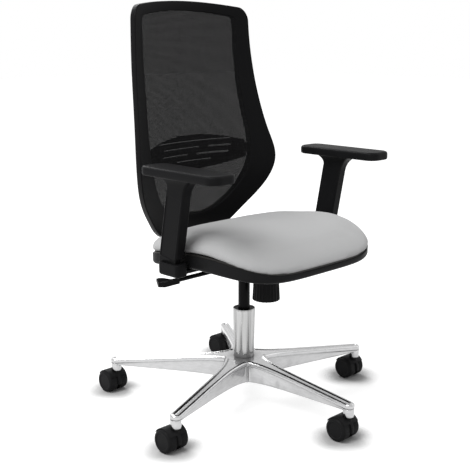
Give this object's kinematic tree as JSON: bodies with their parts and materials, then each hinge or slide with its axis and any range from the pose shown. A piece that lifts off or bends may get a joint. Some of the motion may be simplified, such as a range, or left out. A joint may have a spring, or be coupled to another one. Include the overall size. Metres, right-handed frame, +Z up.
{
  "type": "office task chair",
  "caption": "Swivel task chair with a mesh back in a plastic frame, a padded seat, height-adjusting arms, a gas column and a five-legged base on castors.",
  "frame": {"origin": "on the floor, on the axis of the gas column", "axes": "+Z up, the sitter faces -Y, the sitter's right is -X"},
  "size_m": [0.6742, 0.6465, 0.96],
  "materials": {
    "base_aluminium": "polished die-cast",
    "steel": "machined",
    "column_chrome": "chromed steel tube",
    "cylinder_black": "smooth black coating",
    "bush_plastic": "moulded",
    "castor_black": "moulded nylon",
    "mechanism_black": "powder coated",
    "black_plastic": "fine-grained",
    "arm_steel": "powder coated",
    "fastener_black": "black oxide",
    "seat_fabric": "woven upholstery over foam",
    "pan_wood": "moulded plywood",
    "pad_soft": "soft polyurethane skin",
    "back_fabric": "open stretched mesh"
  },
  "bodies": {
    "base": {"base_star": "base_aluminium", "castor_stems": "steel", "column_tube": "column_chrome", "column_bush": "bush_plastic", "thrust_bearing": "steel", "column_clip": "steel"},
    "spindle": {"piston_rod": "cylinder_black"},
    "mechanism": {"gas_cylinder": "cylinder_black", "mechanism_housing": "mechanism_black", "front_pivot_pin": "steel", "rear_pivot_pin": "steel", "tension_plate": "steel", "tension_spring": "steel", "lever_pin": "steel"},
    "knob": {"tension_knob": "black_plastic", "tension_screw": "steel"},
    "height_lever": {"height_lever": "black_plastic"},
    "valve_button": {"gas_valve_button": "bush_plastic"},
    "tilt_lever": {"tilt_lever": "black_plastic"},
    "back": {"back_bracket": "mechanism_black", "back_frame": "black_plastic", "back_mesh": "back_fabric", "back_screws": "fastener_black"},
    "lumbar": {"lumbar_support": "black_plastic"},
    "seat": {"seat_carrier": "mechanism_black", "seat_pan": "pan_wood", "seat_shell": "black_plastic", "seat_cushion": "seat_fabric", "seat_screws": "fastener_black", "arm_screws": "fastener_black", "arm_bracket_right": "arm_steel", "arm_foot_right": "black_plastic", "arm_bracket_left": "arm_steel", "arm_foot_left": "black_plastic"},
    "castor_1": {"castor_1_hood": "castor_black", "castor_1_axle": "steel"},
    "castor_1_left": {"castor_1_wheel_left": "castor_black"},
    "castor_1_right": {"castor_1_wheel_right": "castor_black"},
    "castor_2": {"castor_2_hood": "castor_black", "castor_2_axle": "steel"},
    "castor_2_left": {"castor_2_wheel_left": "castor_black"},
    "castor_2_right": {"castor_2_wheel_right": "castor_black"},
    "castor_3": {"castor_3_hood": "castor_black", "castor_3_axle": "steel"},
    "castor_3_left": {"castor_3_wheel_left": "castor_black"},
    "castor_3_right": {"castor_3_wheel_right": "castor_black"},
    "castor_4": {"castor_4_hood": "castor_black", "castor_4_axle": "steel"},
    "castor_4_left": {"castor_4_wheel_left": "castor_black"},
    "castor_4_right": {"castor_4_wheel_right": "castor_black"},
    "castor_5": {"castor_5_hood": "castor_black", "castor_5_axle": "steel"},
    "castor_5_left": {"castor_5_wheel_left": "castor_black"},
    "castor_5_right": {"castor_5_wheel_right": "castor_black"},
    "arm_right": {"arm_sleeve_right": "black_plastic", "arm_pad_right": "pad_soft"},
    "arm_button_right": {"arm_button_right": "black_plastic"},
    "arm_left": {"arm_sleeve_left": "black_plastic", "arm_pad_left": "pad_soft"},
    "arm_button_left": {"arm_button_left": "black_plastic"}
  },
  "joints": [
    {"name": "castor_1_swivel", "type": "hinge", "parent": "base", "child": "castor_1", "pos_m": [0, -0.325, 0.056], "axis": [0, 0, 1], "continuous": true},
    {"name": "castor_1_roll_left", "type": "hinge", "parent": "castor_1", "child": "castor_1_left", "pos_m": [0, -0.3095, 0.027], "axis": [1, 0, 0], "continuous": true},
    {"name": "castor_1_roll_right", "type": "hinge", "parent": "castor_1", "child": "castor_1_right", "pos_m": [0, -0.3095, 0.027], "axis": [1, 0, 0], "continuous": true},
    {"name": "castor_2_swivel", "type": "hinge", "parent": "base", "child": "castor_2", "pos_m": [0.30909, -0.10043, 0.056], "axis": [0, 0, 1], "continuous": true},
    {"name": "castor_2_roll_left", "type": "hinge", "parent": "castor_2", "child": "castor_2_left", "pos_m": [0.30909, -0.08493, 0.027], "axis": [1, 0, 0], "continuous": true},
    {"name": "castor_2_roll_right", "type": "hinge", "parent": "castor_2", "child": "castor_2_right", "pos_m": [0.30909, -0.08493, 0.027], "axis": [1, 0, 0], "continuous": true},
    {"name": "castor_3_swivel", "type": "hinge", "parent": "base", "child": "castor_3", "pos_m": [0.19103, 0.26293, 0.056], "axis": [0, 0, 1], "continuous": true},
    {"name": "castor_3_roll_left", "type": "hinge", "parent": "castor_3", "child": "castor_3_left", "pos_m": [0.19103, 0.27843, 0.027], "axis": [1, 0, 0], "continuous": true},
    {"name": "castor_3_roll_right", "type": "hinge", "parent": "castor_3", "child": "castor_3_right", "pos_m": [0.19103, 0.27843, 0.027], "axis": [1, 0, 0], "continuous": true},
    {"name": "castor_4_swivel", "type": "hinge", "parent": "base", "child": "castor_4", "pos_m": [-0.19103, 0.26293, 0.056], "axis": [0, 0, 1], "continuous": true},
    {"name": "castor_4_roll_left", "type": "hinge", "parent": "castor_4", "child": "castor_4_left", "pos_m": [-0.19103, 0.27843, 0.027], "axis": [1, 0, 0], "continuous": true},
    {"name": "castor_4_roll_right", "type": "hinge", "parent": "castor_4", "child": "castor_4_right", "pos_m": [-0.19103, 0.27843, 0.027], "axis": [1, 0, 0], "continuous": true},
    {"name": "castor_5_swivel", "type": "hinge", "parent": "base", "child": "castor_5", "pos_m": [-0.30909, -0.10043, 0.056], "axis": [0, 0, 1], "continuous": true},
    {"name": "castor_5_roll_left", "type": "hinge", "parent": "castor_5", "child": "castor_5_left", "pos_m": [-0.30909, -0.08493, 0.027], "axis": [1, 0, 0], "continuous": true},
    {"name": "castor_5_roll_right", "type": "hinge", "parent": "castor_5", "child": "castor_5_right", "pos_m": [-0.30909, -0.08493, 0.027], "axis": [1, 0, 0], "continuous": true},
    {"name": "seat_swivel", "type": "hinge", "parent": "base", "child": "spindle", "pos_m": [0, 0, 0.2], "axis": [0, 0, 1], "continuous": true},
    {"name": "seat_height", "type": "slide", "parent": "spindle", "child": "mechanism", "axis": [0, 0, 1], "range_m": [-0.045, 0.065]},
    {"name": "tension_turn", "type": "hinge", "parent": "mechanism", "child": "knob", "pos_m": [0, -0.073, 0.3], "axis": [0, 0, 1], "range_deg": [-1080, 1080]},
    {"name": "height_lever_lift", "type": "hinge", "parent": "mechanism", "child": "height_lever", "pos_m": [-0.046, 0.006, 0.346], "axis": [0, 1, 0], "range_deg": [0, 5], "stiffness_Nm_per_rad": 30, "springref_deg": -1.72},
    {"name": "valve_press", "type": "slide", "parent": "mechanism", "child": "valve_button", "axis": [0, 0, -1], "range_m": [0, 0.00367]},
    {"name": "tilt_lock_turn", "type": "hinge", "parent": "mechanism", "child": "tilt_lever", "pos_m": [0.055, 0.034, 0.344], "axis": [1, 0, 0], "range_deg": [0, 20]},
    {"name": "recline", "type": "hinge", "parent": "mechanism", "child": "back", "pos_m": [0, 0.07, 0.346], "axis": [-1, 0, 0], "range_deg": [0, 20]},
    {"name": "lumbar_slide", "type": "slide", "parent": "back", "child": "lumbar", "axis": [0, 0, 1], "range_m": [-0.02, 0.015]},
    {"name": "seat_tilt", "type": "hinge", "parent": "mechanism", "child": "seat", "pos_m": [0, -0.094, 0.36], "axis": [-1, 0, 0], "range_deg": [0, 7]},
    {"name": "arm_height_right", "type": "slide", "parent": "seat", "child": "arm_right", "axis": [0, -0.1805, 0.9836], "range_m": [0, 0.08]},
    {"name": "arm_button_press_right", "type": "slide", "parent": "arm_right", "child": "arm_button_right", "axis": [0, -0.9836, -0.1805], "range_m": [0, 0.003], "stiffness_N_per_m": 400},
    {"name": "arm_height_left", "type": "slide", "parent": "seat", "child": "arm_left", "axis": [0, -0.1805, 0.9836], "range_m": [0, 0.08]},
    {"name": "arm_button_press_left", "type": "slide", "parent": "arm_left", "child": "arm_button_left", "axis": [0, -0.9836, -0.1805], "range_m": [0, 0.003], "stiffness_N_per_m": 400}
  ],
  "couplings": [
    {"joint": "valve_press", "follows": "height_lever_lift", "m_per_rad": 0.042},
    {"joint": "seat_tilt", "follows": "recline", "ratio": 0.35}
  ]
}
